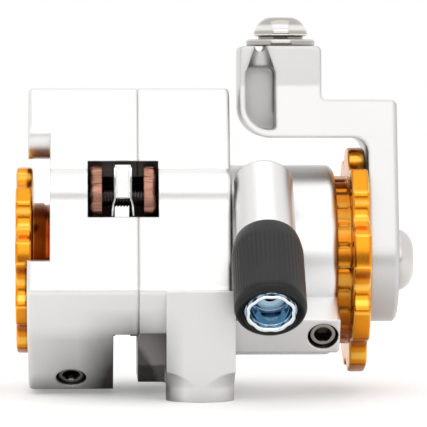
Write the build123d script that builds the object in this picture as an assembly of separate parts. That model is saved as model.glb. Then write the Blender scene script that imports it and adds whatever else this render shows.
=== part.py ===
from build123d import *
import math
import os

os.makedirs("parts", exist_ok=True)

# Driving dimensions, in millimetres and degrees
# X runs along the actuator axis towards the lever, Y away from the viewer of the front,
# and Z up from the mounting face. Sections are drawn about the actuator axis and lifted
# by axis_height at the end.
axis_height = 21.6
overrun = 3.0
running_gap = 0.05
slide_gap = 0.3
face_gap = 0.1
seam_chamfer = 0.25

# Rotor that runs in the caliper
rotor_plane_x = -12.3
rotor_radius = 70.0
rotor_reach = 62.0
rotor_room = 1.5
radial_angle = 38.0

# Body halves and their outline in the YZ plane
inboard_wall_x = -27.7
recess_floor_x = -24.05
slot_wall_x = -13.9
seam_x = -9.85
outboard_wall_x = 5.2
body_top_z = 28.4
top_front_y = -4.5
top_rear_y = 7.5
rear_y = 19.5
rear_high_z = 8.0
rear_low_z = -9.0
bottom_z = -20.8
bottom_rear_y = 9.0
bottom_front_y = -6.5
knuckle_y = -19.0
knuckle_z = -11.0
crease_y = -22.4
crease_z = -3.8
ridge_y = -15.22
ridge_z = 15.3
ridge_radius = 4.0
ridge_valley_radius = 5.8
ledge_y = -10.3
face_lean = 28.0
top_corner_radius = 1.5
shoulder_radius = 5.0
rear_radius = 8.0
heel_radius = 6.0
wall_edge_radius = 0.8

# Notch round the inboard knob
notch_top_z = 16.8
notch_floor_z = 0.9
recess_radius = 16.6
lobe_radius = 4.0

# Window over the pads
window_left_x = -18.0
window_right_x = -6.55
window_low_z = 7.7
window_high_z = 16.6
window_depth_y = -6.0

# Outboard lower wall, foot block and feet
lower_wall_y = -12.0
lower_wall_z = -19.5
foot_spacing = 34.0
foot_radius = 5.5
foot_block_z = -16.8
foot_block_top_z = -3.8
foot_neck_radius = 2.5
foot_hole_radius = 2.1
foot_hole_depth = 12.0

# Actuator housing
housing_radius = 15.7
housing_end_x = 22.5
housing_edge_radius = 1.4
ramp_bore_radius = 13.0
ramp_bore_floor_x = 3.3
hub_bore_floor_x = 16.4
keyway_width = 4.0
keyway_radius = 14.0
keyway_end_x = 10.7
piston_radius = 8.0
pad_room_x = 0.3

# Cable stop tube
cable_x = 10.45
cable_angle = 40.0
cable_offset = 17.5
tube_radius = 4.77
tube_length = 15.4
tube_edge_radius = 0.6
cable_hole_radius = 1.1
barrel_thread_radius = 3.0
barrel_thread_length = 9.0

# Barrel adjuster
grip_radius = 5.7
grip_length = 15.6
grip_bore_radius = 4.35
grip_edge = 0.9
barrel_washer_thickness = 0.5
core_lip_radius = 4.2
core_lip = 0.45
core_flat_share = 0.88
ferrule_radius = 3.1
ferrule_depth = 8.0
ferrule_funnel = 2.2

# Set screw lug on the housing
lug_angle = 32.0
lug_reach = 21.5
lug_half_width = 3.2
lug_edge_radius = 0.6

# Set screws that hold the knobs' detents
set_screw_radius = 2.5
set_screw_length = 4.0
set_screw_sink = 0.3
set_screw_hex = 2.5
set_screw_hex_depth = 1.9
set_screw_cup_width = 0.45
outboard_screw_x = 19.73
inboard_screw_x = -20.74
inboard_screw_angle = 52.0
inboard_screw_offset = 4.27
inboard_screw_reach = 20.4
plunger_radius = 1.5
plunger_length = 2.2
detent_radius = 0.6

# Pads
plate_thickness = 2.0
lining_thickness = 2.15
pad_half_gap = 1.25
pad_length = 27.0
pad_height = 16.0
pad_corner = 6.0
pad_tab_width = 9.2
pad_tab_reach = 17.4
pad_tab_shift = 2.4
pad_tab_corner = 0.8
pad_edge_radius = 0.7
lining_margin = 0.8
tab_notch = 0.8

# Pad pin and pad spring
pin_y = -9.7
pin_z = 10.6
pin_radius = 1.45
pin_hole_radius = 1.75
pin_head_radius = 2.6
pin_head_height = 2.2
pin_tip_x = -3.6
pin_hex = 2.0
spring_sheet = 0.45
spring_width = 2.9
spring_front_y = -12.6
spring_low_z = 10.7
spring_high_z = 16.0
spring_leg_depth = 2.6
spring_leg_drop = 3.2
spring_leg_flare = 0.55

# Body bolts
body_bolt_radius = 2.0
body_bolt_clearance = 0.1
body_bolt_head_radius = 3.5
body_bolt_head_height = 4.0
body_bolt_head_room = 0.2
body_bolt_seat_x = -19.6
body_bolt_tip_x = -1.5
body_bolt_hex = 3.0
body_bolt_hex_depth = 2.2
upper_bolt_y = -0.5
upper_bolt_z = 22.3
lower_bolt_y = -16.9
lower_bolt_z = -3.6

# Knobs
outboard_rim_radius = 18.6
outboard_rim_x = 24.7
outboard_rim_thickness = 2.9
outboard_scallops = 18
outboard_hub_radius = 13.9
outboard_hub_x = 17.5
inboard_rim_radius = 15.4
inboard_rim_x = -27.0
inboard_rim_thickness = 2.7
inboard_scallops = 15
inboard_hub_radius = 9.5
inboard_hub_end_x = -18.9
scallop_radius = 2.1
scallop_depth = 1.15
scallop_blend = 0.4
rim_chamfer = 0.35
detent_count = 24
knob_hex = 5.0
knob_hex_depth = 2.4
knob_dish_radius_share = 0.72
knob_dish_depth = 0.9

# Ball ramp actuator
spindle_radius = 5.0
spindle_left_x = 9.0
bush_wall = 1.1
ramp_inner_radius = 5.2
ramp_outer_radius = 10.9
sliding_ramp_left_x = 5.2
sliding_ramp_right_x = 8.7
turning_ramp_left_x = 11.3
turning_ramp_right_x = 15.1
ball_radius = 2.0
ball_circle_radius = 8.2
ball_count = 3
ball_room = 0.08
ramp_travel = 0.56
lever_range = 22.0
cage_thickness = 0.8
bearing_ball_radius = 0.7
bearing_ball_count = 16
bearing_race_thickness = 0.8
return_wire_radius = 0.45
return_coil_radius = 11.9
return_coil_pitch = 1.3
return_coil_turns = 2.5
return_coil_start_x = 11.4
piston_seal_width = 1.2
piston_seal_depth = 0.9
piston_seal_x = 0.5

# Lever arm
arm_plate_left_x = 28.0
arm_plate_right_x = 32.8
arm_hub_radius = 10.2
arm_beam_low_z = 20.3
arm_beam_high_z = 26.5
arm_post_left_x = 7.0
arm_post_right_x = 20.4
arm_top_z = 35.4
arm_lean = 13.0
arm_bend_z = 28.8
arm_top_front_y = -3.3
arm_post_corner = 5.0
arm_inner_corner = 2.4
arm_outer_corner = 1.0
arm_foot_corner = 0.8
arm_edge_chamfer = 0.5
arm_pocket_left_x = 7.9
arm_pocket_right_x = 12.9
arm_pocket_low_z = 21.6
arm_pocket_high_z = 32.0
arm_pocket_floor_y = 1.8
arm_pocket_corner = 4.0
cable_groove_radius = 0.95

# Cable clamp bolt, its washer and the pivot bolt
clamp_x = 14.1
clamp_y = 4.2
clamp_radius = 2.5
clamp_length = 11.0
clamp_head_radius = 4.75
clamp_head_height = 3.8
clamp_head_rim = 1.3
clamp_hex = 3.0
clamp_hex_depth = 2.0
washer_radius = 5.72
washer_thickness = 1.15
pivot_radius = 3.0
pivot_length = 8.5
pivot_head_radius = 5.1
pivot_head_height = 3.0
pivot_head_rim = 0.7
pivot_hex = 4.0
pivot_hex_depth = 1.6

# Places that follow from the sizes above
foot_y = foot_spacing / 2
foot_sole_z = -axis_height
slot_radius = rotor_radius + rotor_room
rotor_y = rotor_reach * math.cos(math.radians(radial_angle))
rotor_z = -rotor_reach * math.sin(math.radians(radial_angle))
inboard_lining_x = rotor_plane_x - pad_half_gap
inboard_plate_x = inboard_lining_x - lining_thickness
inboard_pad_x = inboard_plate_x - plate_thickness
outboard_lining_x = rotor_plane_x + pad_half_gap
outboard_plate_x = outboard_lining_x + lining_thickness
outboard_pad_x = outboard_plate_x + plate_thickness
knob_face_x = outboard_rim_x + outboard_rim_thickness
grip_start = tube_length + barrel_washer_thickness + 2 * face_gap
cable_frame = Plane(
    origin=(cable_x,
            -cable_offset * math.sin(math.radians(cable_angle)),
            cable_offset * math.cos(math.radians(cable_angle))),
    x_dir=(1, 0, 0),
    z_dir=(0, -math.cos(math.radians(cable_angle)), -math.sin(math.radians(cable_angle))),
)
outboard_screw_frame = Plane(
    origin=(outboard_screw_x, 0, 0),
    x_dir=(1, 0, 0),
    z_dir=(0, -math.cos(math.radians(lug_angle)), -math.sin(math.radians(lug_angle))),
)
inboard_screw_frame = Plane(
    origin=(inboard_screw_x,
            inboard_screw_offset * math.sin(math.radians(inboard_screw_angle)),
            -inboard_screw_offset * math.cos(math.radians(inboard_screw_angle))),
    x_dir=(1, 0, 0),
    z_dir=(0, -math.cos(math.radians(inboard_screw_angle)),
           -math.sin(math.radians(inboard_screw_angle))),
)


def slab(section, start, end):
    """A YZ section carried along X from start to end."""
    return extrude(Plane.YZ.offset(start) * section, amount=end - start)


def disc(radius, start, end, y=0, z=0):
    """A round bar along X."""
    return slab(Pos(y, z) * Circle(radius), start, end)


def ring(outer, inner, start, end):
    """A tube along X."""
    return slab(Circle(outer) - Circle(inner), start, end)


def rod(frame, radius, start, end):
    """A round bar along a frame's own Z axis."""
    return extrude(frame.offset(start) * Circle(radius), amount=end - start)


def yz_box(y_low, y_high, z_low, z_high):
    """A rectangle in the YZ plane by its edges."""
    return Pos((y_low + y_high) / 2, (z_low + z_high) / 2) * Rectangle(y_high - y_low, z_high - z_low)


def hexagon(across_flats):
    """A hexagon for a key, by the distance across its flats."""
    return RegularPolygon(across_flats / 2, 6, major_radius=False)


def body_outline():
    """The side view of both body halves."""
    lean = math.tan(math.radians(face_lean))
    valley_z = crease_z + (ridge_y - crease_y) / lean
    corners = [
        ((top_front_y, body_top_z), top_corner_radius),
        ((top_rear_y, body_top_z), shoulder_radius),
        ((rear_y, rear_high_z), rear_radius),
        ((rear_y, rear_low_z), rear_radius),
        ((bottom_rear_y, bottom_z), heel_radius),
        ((bottom_front_y, bottom_z), top_corner_radius),
        ((knuckle_y, knuckle_z), heel_radius),
        ((crease_y, crease_z), top_corner_radius),
        ((ridge_y, valley_z), ridge_valley_radius),
        ((ridge_y, ridge_z), ridge_radius),
        ((ledge_y, ridge_z), 0),
    ]
    points = [corner for corner, radius in corners]
    radii = [radius for corner, radius in corners]
    return make_face(FilletPolyline(*points, radius=radii, close=True))


def pad_section(margin, with_tab, grow):
    """A pad seen along the rotor's axis, turned to the radial line of the rotor."""
    body = RectangleRounded(pad_height + 2 * grow - 2 * margin, pad_length + 2 * grow - 2 * margin,
                            pad_corner + grow - margin)
    if with_tab:
        root = pad_height / 4
        reach = pad_tab_reach + grow - root
        tab = RectangleRounded(reach, pad_tab_width + 2 * grow, pad_tab_corner)
        body += Pos(root + reach / 2, -pad_tab_shift) * tab
    return Rot(0, 0, 180 - radial_angle) * body


def pad_room(start, end):
    """The pocket that a pad slides in."""
    return slab(pad_section(0, True, slide_gap), start, end)


def window():
    """The opening in front of the pad tabs."""
    section = yz_box(crease_y - overrun, window_depth_y, window_low_z, window_high_z)
    return slab(section, window_left_x, window_right_x)


def bolt_places():
    """Where the two body bolts stand in the YZ plane."""
    return [(upper_bolt_y, upper_bolt_z), (lower_bolt_y, lower_bolt_z)]


def inboard_body():
    """The half with the rotor slot and the small knob."""
    outline = body_outline()
    body = slab(outline, inboard_wall_x, seam_x)
    body = fillet(body.faces().sort_by(Axis.X)[0].edges(), wall_edge_radius)
    body = chamfer(body.faces().sort_by(Axis.X)[-1].edges(), seam_chamfer)
    lobe = outline & yz_box(crease_y, rear_y, notch_top_z, body_top_z + overrun)
    corner = lobe.vertices().group_by(Axis.Y)[0].sort_by(Axis.X)[0]
    lobe = fillet(corner, lobe_radius)
    block = outline & yz_box(crease_y - overrun, rear_y + overrun, bottom_z - overrun, notch_floor_z)
    corner = block.vertices().group_by(Axis.Y)[-1].sort_by(Axis.X)[0]
    block = fillet(corner, wall_edge_radius)
    kept = lobe + block - Circle(recess_radius)
    everything = yz_box(crease_y - overrun, rear_y + overrun, bottom_z - overrun, body_top_z + overrun)
    body -= slab(everything - kept, inboard_wall_x - overrun, recess_floor_x)
    slot = Pos(rotor_y, rotor_z) * Circle(slot_radius)
    slot += yz_box(crease_y - overrun, rear_y + overrun, bottom_z - overrun, knuckle_z)
    body -= slab(slot, slot_wall_x, seam_x + overrun)
    body -= pad_room(inboard_pad_x - pad_room_x, seam_x + overrun)
    body -= disc(inboard_hub_radius + running_gap, inboard_wall_x - overrun, slot_wall_x)
    body -= window()
    for y, z in bolt_places():
        body -= disc(body_bolt_radius + body_bolt_clearance, inboard_wall_x - overrun, seam_x + overrun, y, z)
        body -= disc(body_bolt_head_radius + body_bolt_head_room, inboard_wall_x - overrun,
                     body_bolt_seat_x, y, z)
    body -= disc(pin_radius + running_gap, recess_floor_x - overrun, slot_wall_x, pin_y, pin_z)
    body -= disc(pin_head_radius + running_gap, recess_floor_x - overrun,
                 recess_floor_x + pin_head_height, pin_y, pin_z)
    body -= rod(inboard_screw_frame, set_screw_radius, inboard_screw_offset, inboard_screw_reach + overrun)
    return body


def foot_block():
    """The block and the two bosses that stand on the frame."""
    front_y = foot_y + foot_radius
    block = slab(yz_box(-front_y, front_y, foot_block_z, foot_block_top_z), -foot_radius, foot_radius)
    rear_top = block.edges().filter_by(Axis.X).group_by(Axis.Z)[-1].sort_by(Axis.Y)[-1]
    block = chamfer(rear_top, foot_radius)
    for side in (-1, 1):
        boss = Pos(0, side * foot_y, foot_sole_z) * Cylinder(
            foot_radius, foot_block_z - foot_sole_z, align=(Align.CENTER, Align.CENTER, Align.MIN))
        neck_section = Pos(foot_radius, foot_block_z) * (
            Pos(foot_neck_radius / 2, -foot_neck_radius / 2) * Rectangle(foot_neck_radius, foot_neck_radius)
            - Pos(foot_neck_radius, -foot_neck_radius) * Circle(foot_neck_radius))
        neck = revolve(Plane.XZ * neck_section, Axis.Z)
        neck = Pos(0, side * foot_y, 0) * neck
        room = Pos(0, 0, foot_block_z) * Box(2 * foot_radius, 2 * front_y, 2 * foot_neck_radius)
        block += boss + (neck & room)
    return block


def set_screw_lug():
    """The ridge along the housing that carries the outboard set screw."""
    run = housing_end_x - outboard_wall_x
    frame = outboard_screw_frame.offset(piston_radius)
    centre_x = (housing_end_x + outboard_wall_x) / 2 - outboard_screw_x
    section = Pos(centre_x, 0) * Rectangle(run, 2 * lug_half_width)
    lug = extrude(frame * section, amount=lug_reach - piston_radius)
    top = lug.faces().sort_by(SortBy.DISTANCE, reverse=True)[0]
    return fillet(top.edges(), lug_edge_radius)


def keys(gap):
    """The two keys of the ramp, or with no gap their keyways."""
    return Rectangle(keyway_width - 2 * gap, 2 * keyway_radius - 6 * gap)


def outboard_body():
    """The half with the feet, the actuator housing and the cable stop."""
    body = slab(body_outline(), seam_x, outboard_wall_x)
    body = chamfer(body.faces().sort_by(Axis.X)[0].edges(), seam_chamfer)
    body = fillet(body.faces().sort_by(Axis.X)[-1].edges(), wall_edge_radius)
    under = yz_box(crease_y - overrun, lower_wall_y, bottom_z - overrun, knuckle_z)
    under += yz_box(crease_y - overrun, rear_y + overrun, bottom_z - overrun, lower_wall_z)
    body -= slab(under, seam_x - overrun, -foot_radius)
    under = yz_box(crease_y - overrun, rear_y + overrun, bottom_z - overrun, foot_block_z)
    body -= slab(under, -foot_radius, outboard_wall_x + overrun)
    body += foot_block()
    housing = disc(housing_radius, outboard_wall_x - overrun, housing_end_x)
    housing = fillet(housing.faces().sort_by(Axis.X)[-1].edges(), housing_edge_radius)
    body += housing
    body += set_screw_lug()
    tube = rod(cable_frame, tube_radius, 0, tube_length)
    tube = fillet(tube.edges().filter_by(GeomType.CIRCLE), tube_edge_radius)
    body += tube
    body -= disc(ramp_bore_radius, ramp_bore_floor_x, housing_end_x + overrun)
    body -= disc(outboard_hub_radius + running_gap, hub_bore_floor_x, housing_end_x + overrun)
    body -= disc(piston_radius + running_gap, outboard_plate_x, ramp_bore_floor_x + overrun)
    body -= slab(keys(0), ramp_bore_floor_x, keyway_end_x)
    body -= pad_room(seam_x - overrun, outboard_pad_x + pad_room_x)
    body -= window()
    for y, z in bolt_places():
        body -= disc(body_bolt_radius, seam_x - overrun, body_bolt_tip_x + face_gap, y, z)
    body -= disc(pin_radius, seam_x - overrun, pin_tip_x + face_gap, pin_y, pin_z)
    for side in (-1, 1):
        body -= Pos(0, side * foot_y, foot_sole_z) * Cylinder(
            foot_hole_radius, foot_hole_depth, align=(Align.CENTER, Align.CENTER, Align.MIN))
    body -= rod(cable_frame, cable_hole_radius, -overrun, tube_length)
    body -= rod(cable_frame, barrel_thread_radius, tube_length - barrel_thread_length - face_gap,
                tube_length + overrun)
    body -= rod(outboard_screw_frame, set_screw_radius, piston_radius, lug_reach + overrun)
    return body


def socket_screw(head_radius, head_height, shank_radius, shank_length, across_flats, key_depth):
    """A screw on the Z axis with its seat at zero and its head above it."""
    bottom = (Align.CENTER, Align.CENTER, Align.MIN)
    top = (Align.CENTER, Align.CENTER, Align.MAX)
    head = Cylinder(head_radius, head_height, align=bottom)
    head = chamfer(head.edges().group_by(Axis.Z)[-1], head_height / 10)
    shank = Cylinder(shank_radius, shank_length, align=top)
    shank = chamfer(shank.edges().group_by(Axis.Z)[0], shank_radius / 5)
    key = Pos(0, 0, head_height) * extrude(hexagon(across_flats), amount=-key_depth)
    return head + shank - key


def dome_screw(head_radius, head_height, rim, shank_radius, shank_length, across_flats, key_depth):
    """A domed screw on the Z axis with its seat at zero."""
    rise = head_height - rim
    crown = head_radius / 2
    side = Line((0, 0), (head_radius, 0))
    side += Line((head_radius, 0), (head_radius, rim))
    side += ThreePointArc((head_radius, rim), ((head_radius + crown) / 2 + rise / 4, rim + rise * 3 / 4),
                          (crown, head_height))
    side += Line((crown, head_height), (0, head_height))
    side += Line((0, head_height), (0, 0))
    head = revolve(Plane.XZ * make_face(side), Axis.Z)
    shank = Cylinder(shank_radius, shank_length, align=(Align.CENTER, Align.CENTER, Align.MAX))
    shank = chamfer(shank.edges().group_by(Axis.Z)[0], shank_radius / 5)
    key = Pos(0, 0, head_height) * extrude(hexagon(across_flats), amount=-key_depth)
    return head + shank - key


def body_bolts():
    """The two bolts that clamp the halves together."""
    length = body_bolt_tip_x - body_bolt_seat_x
    bolt = socket_screw(body_bolt_head_radius, body_bolt_head_height, body_bolt_radius, length,
                        body_bolt_hex, body_bolt_hex_depth)
    bolts = Part()
    for y, z in bolt_places():
        frame = Plane(origin=(body_bolt_seat_x, y, z), x_dir=(0, 1, 0), z_dir=(-1, 0, 0))
        bolts += frame * bolt
    return bolts


def knob_rim(radius, thickness, count):
    """A scalloped disc on the Z axis."""
    section = Circle(radius)
    for place in PolarLocations(radius + scallop_radius - scallop_depth, count):
        section -= place * Circle(scallop_radius)
    rim = extrude(section, amount=thickness)
    rim = fillet(rim.edges().filter_by(Axis.Z), scallop_blend)
    faces = rim.faces().sort_by(Axis.Z)
    return chamfer(faces[0].edges() + faces[-1].edges(), rim_chamfer)


def outboard_knob():
    """The large adjuster: it carries the actuator and screws into the housing."""
    frame = Plane(origin=(outboard_rim_x, 0, 0), x_dir=(0, 1, 0), z_dir=(1, 0, 0))
    knob = frame * knob_rim(outboard_rim_radius, outboard_rim_thickness, outboard_scallops)
    hub = Circle(outboard_hub_radius)
    for place in PolarLocations(outboard_hub_radius + detent_radius / 3, detent_count):
        hub -= place * Circle(detent_radius)
    knob += slab(hub, outboard_hub_x, outboard_rim_x)
    knob -= disc(spindle_radius + bush_wall, outboard_hub_x - overrun, knob_face_x + overrun)
    return knob


def inboard_knob():
    """The small adjuster: it screws the inboard piston in."""
    frame = Plane(origin=(inboard_rim_x, 0, 0), x_dir=(0, 1, 0), z_dir=(-1, 0, 0))
    knob = frame * knob_rim(inboard_rim_radius, inboard_rim_thickness, inboard_scallops)
    outer_x = inboard_rim_x - inboard_rim_thickness
    dish = disc(inboard_rim_radius * knob_dish_radius_share, outer_x - overrun, outer_x + knob_dish_depth)
    knob -= dish
    knob += disc(inboard_hub_radius, inboard_rim_x, inboard_hub_end_x)
    key = slab(hexagon(knob_hex), outer_x, outer_x + knob_dish_depth + knob_hex_depth)
    knob -= key
    knob -= disc(piston_radius / 2 + running_gap, recess_floor_x, inboard_hub_end_x + overrun)
    return knob


def inboard_piston():
    """The foot that carries the inboard pad and doesn't turn."""
    piston = disc(inboard_hub_radius - running_gap, inboard_hub_end_x + face_gap, inboard_pad_x)
    piston += disc(piston_radius / 2, recess_floor_x + face_gap, inboard_hub_end_x + face_gap)
    return piston


def pad_plate(start, outer_face):
    """A backing plate, rounded along its outer face."""
    plate = slab(pad_section(0, True, 0), start, start + plate_thickness)
    face = plate.faces().sort_by(Axis.X)[outer_face]
    plate = fillet(face.edges(), pad_edge_radius)
    return plate - disc(pin_hole_radius, start - overrun, start + plate_thickness + overrun, pin_y, pin_z)


def pad_lining(start):
    """A friction block."""
    return slab(pad_section(lining_margin, False, 0), start, start + lining_thickness)


def pad_pin():
    """The screw that the pads hang on."""
    seat_x = recess_floor_x + pin_head_height
    screw = socket_screw(pin_head_radius, pin_head_height - face_gap, pin_radius, pin_tip_x - seat_x,
                         pin_hex, pin_head_height / 2)
    return Plane(origin=(seat_x, pin_y, pin_z), x_dir=(0, 1, 0), z_dir=(-1, 0, 0)) * screw


def pad_spring():
    """The bent leaf that pushes the pads apart, in front of the pin."""
    half = spring_width / 2
    sheet_y = spring_front_y + spring_sheet
    tongue = Pos(rotor_plane_x, (spring_front_y + sheet_y) / 2, (spring_low_z + spring_high_z) / 2) * Box(
        spring_width, spring_sheet, spring_high_z - spring_low_z)
    tongue = fillet(tongue.edges().filter_by(Axis.Y).group_by(Axis.Z)[-1], spring_sheet)
    spring = tongue
    for side in (-1, 1):
        inner = rotor_plane_x + side * (half - spring_sheet)
        outer = rotor_plane_x + side * half
        drop_z = spring_low_z - spring_leg_drop
        flare = side * spring_leg_flare
        leg = make_face(Polyline(
            (inner, spring_high_z - spring_sheet), (outer, spring_high_z - spring_sheet),
            (outer, spring_low_z), (outer + flare, drop_z), (inner + flare, drop_z),
            (inner, spring_low_z), close=True))
        spring += extrude(Plane.XZ.offset(-spring_front_y) * leg, amount=-spring_leg_depth)
    return spring - disc(pin_hole_radius, inboard_plate_x, outboard_plate_x, pin_y, pin_z)


def set_screw():
    """A set screw on the Z axis with its outer end at zero."""
    down = (Align.CENTER, Align.CENTER, Align.MAX)
    screw = Cylinder(set_screw_radius, set_screw_length, align=down)
    screw = chamfer(screw.edges().group_by(Axis.Z)[-1], set_screw_cup_width)
    return screw - extrude(hexagon(set_screw_hex), amount=-set_screw_hex_depth)


def plunger():
    """A detent plunger on the Z axis with its round nose down at zero."""
    bullet = Cylinder(plunger_radius, plunger_length, align=(Align.CENTER, Align.CENTER, Align.MIN))
    return fillet(bullet.edges().group_by(Axis.Z)[0], plunger_radius * 2 / 3)


def outboard_set_screw():
    return outboard_screw_frame.offset(lug_reach - set_screw_sink) * set_screw()


def inboard_set_screw():
    return inboard_screw_frame.offset(inboard_screw_reach - set_screw_sink) * set_screw()


def inboard_nose():
    """How far from the foot of its axis the inboard plunger meets the hub."""
    return math.sqrt(inboard_hub_radius ** 2 - (inboard_screw_offset - plunger_radius) ** 2) + slide_gap


def outboard_plunger():
    return outboard_screw_frame.offset(outboard_hub_radius + face_gap) * plunger()


def inboard_plunger():
    return inboard_screw_frame.offset(inboard_nose()) * plunger()


def detent_spring(frame, start, end):
    """The short spring between a plunger and its set screw, as a sleeve."""
    sleeve = rod(frame, plunger_radius, start + face_gap, end - face_gap)
    return sleeve - rod(frame, plunger_radius / 2, start - overrun, end + overrun)


def outboard_detent_spring():
    start = outboard_hub_radius + face_gap + plunger_length
    return detent_spring(outboard_screw_frame, start, lug_reach - set_screw_sink - set_screw_length)


def inboard_detent_spring():
    start = inboard_nose() + plunger_length
    return detent_spring(inboard_screw_frame, start, inboard_screw_reach - set_screw_sink - set_screw_length)


def outboard_piston():
    """The piston that presses the outboard pad."""
    piston = disc(piston_radius, outboard_pad_x, sliding_ramp_left_x)
    groove = ring(piston_radius + overrun, piston_radius - piston_seal_depth, piston_seal_x,
                  piston_seal_x + piston_seal_width)
    return piston - groove


def piston_seal():
    """The square ring in the outboard piston's groove."""
    return ring(piston_radius, piston_radius - piston_seal_depth, piston_seal_x,
                piston_seal_x + piston_seal_width)


def ball_x():
    """Where the ramp balls' centres stand."""
    return (sliding_ramp_right_x + turning_ramp_left_x) / 2


def ramp_grooves(side):
    """The three sloping grooves of one ramp, each a part of a tilted torus."""
    slope = ramp_travel / (ball_circle_radius * math.radians(lever_range))
    half_arc = lever_range / 4
    middle_x = ball_x() + side * ramp_travel / 4
    torus = Rot(0, 0, math.degrees(math.atan(slope))) * (
        Rot(0, 90, 0) * Torus(ball_circle_radius, ball_radius + ball_room))
    reach = ramp_outer_radius + overrun
    half_width = reach * math.tan(math.radians(half_arc) + ball_radius / ball_circle_radius + ball_room)
    wedge = slab(make_face(Polyline((0, 0), (-half_width, reach), (half_width, reach), close=True)),
                 -reach, reach)
    groove = Pos(middle_x, 0, 0) * (torus & wedge)
    return [Rot(index * 360 / ball_count + side * half_arc, 0, 0) * groove for index in range(ball_count)]


def sliding_ramp():
    """The ramp ring that is keyed to the housing and pushes the piston."""
    ramp = slab(Circle(ramp_outer_radius) + keys(running_gap), sliding_ramp_left_x, sliding_ramp_right_x)
    for groove in ramp_grooves(1):
        ramp -= groove
    return ramp


def turning_ramp():
    """The ramp ring that turns with the lever."""
    ramp = ring(ramp_outer_radius, spindle_radius, turning_ramp_left_x, turning_ramp_right_x)
    for groove in ramp_grooves(-1):
        ramp -= groove
    track = Torus(ball_circle_radius, bearing_ball_radius + ball_room)
    return ramp - Pos(turning_ramp_right_x + bearing_ball_radius / 2, 0, 0) * (Rot(0, 90, 0) * track)


def ramp_balls():
    """The balls between the ramps."""
    balls = Part()
    for index in range(ball_count):
        ball = Pos(ball_x(), 0, ball_circle_radius) * Sphere(ball_radius)
        balls += Rot(index * 360 / ball_count, 0, 0) * ball
    return balls


def ball_spacer():
    """The keyed spacer plate with a long slot for each ball's roll."""
    start = ball_x() - cage_thickness / 2
    section = Circle(ramp_outer_radius) + keys(running_gap) - Circle(ramp_inner_radius)
    for index in range(ball_count):
        for quarters in (0, 1, 2):
            turn = index * 360 / ball_count + quarters * lever_range / 4
            section -= Rot(0, 0, turn) * (Pos(0, ball_circle_radius) * Circle(ball_radius + slide_gap / 2))
    return slab(section, start, start + cage_thickness)


def thrust_balls():
    """The small balls of the thrust bearing."""
    x = turning_ramp_right_x + bearing_ball_radius / 2
    balls = Part()
    for index in range(bearing_ball_count):
        ball = Pos(x, 0, ball_circle_radius) * Sphere(bearing_ball_radius)
        balls += Rot(index * 360 / bearing_ball_count, 0, 0) * ball
    return balls


def thrust_race():
    """The washer behind the thrust balls."""
    start = outboard_hub_x - face_gap / 2 - bearing_race_thickness * 2
    race = ring(ramp_outer_radius, ramp_inner_radius + face_gap, start, outboard_hub_x - face_gap / 2)
    track = Torus(ball_circle_radius, bearing_ball_radius + ball_room)
    return race - Pos(turning_ramp_right_x + bearing_ball_radius / 2, 0, 0) * (Rot(0, 90, 0) * track)


def spindle():
    """The shaft that the lever turns."""
    shaft = disc(spindle_radius, spindle_left_x, arm_plate_right_x)
    bolt_start = arm_plate_right_x - pivot_length - face_gap
    return shaft - disc(pivot_radius, bolt_start, arm_plate_right_x + overrun)


def spindle_bush():
    """The plain bearing in the large knob."""
    return ring(spindle_radius + bush_wall, spindle_radius + running_gap, outboard_hub_x, knob_face_x)


def return_spring():
    """The torsion spring that swings the lever back."""
    path = Helix(return_coil_pitch, return_coil_pitch * return_coil_turns, return_coil_radius)
    start = Plane(origin=path @ 0, z_dir=path % 0)
    coil = sweep(start * Circle(return_wire_radius), path=path)
    return Pos(return_coil_start_x, 0, 0) * (Rot(0, 90, 0) * coil)


def arm_side():
    """The lever seen along the actuator axis."""
    lean = math.radians(arm_lean)
    touch_y = -arm_hub_radius * math.cos(lean)
    touch_z = arm_hub_radius * math.sin(lean)
    bend_y = touch_y + (arm_bend_z - touch_z) * math.tan(lean)
    blade = make_face(Polyline(
        (touch_y, touch_z), (bend_y, arm_bend_z), (arm_top_front_y, arm_top_z),
        (arm_hub_radius, arm_top_z), (arm_hub_radius, 0), close=True))
    return Circle(arm_hub_radius) + blade


def arm_front():
    """The lever seen from the front."""
    corners = [
        ((arm_plate_left_x, -arm_hub_radius), arm_foot_corner),
        ((arm_plate_right_x, -arm_hub_radius), arm_outer_corner),
        ((arm_plate_right_x, arm_beam_high_z), arm_outer_corner),
        ((arm_post_right_x, arm_beam_high_z), arm_foot_corner),
        ((arm_post_right_x, arm_top_z), arm_outer_corner),
        ((arm_post_left_x, arm_top_z), arm_foot_corner),
        ((arm_post_left_x, arm_beam_low_z), arm_post_corner),
        ((arm_plate_left_x, arm_beam_low_z), arm_inner_corner),
    ]
    points = [corner for corner, radius in corners]
    radii = [radius for corner, radius in corners]
    return make_face(FilletPolyline(*points, radius=radii, close=True))


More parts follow.
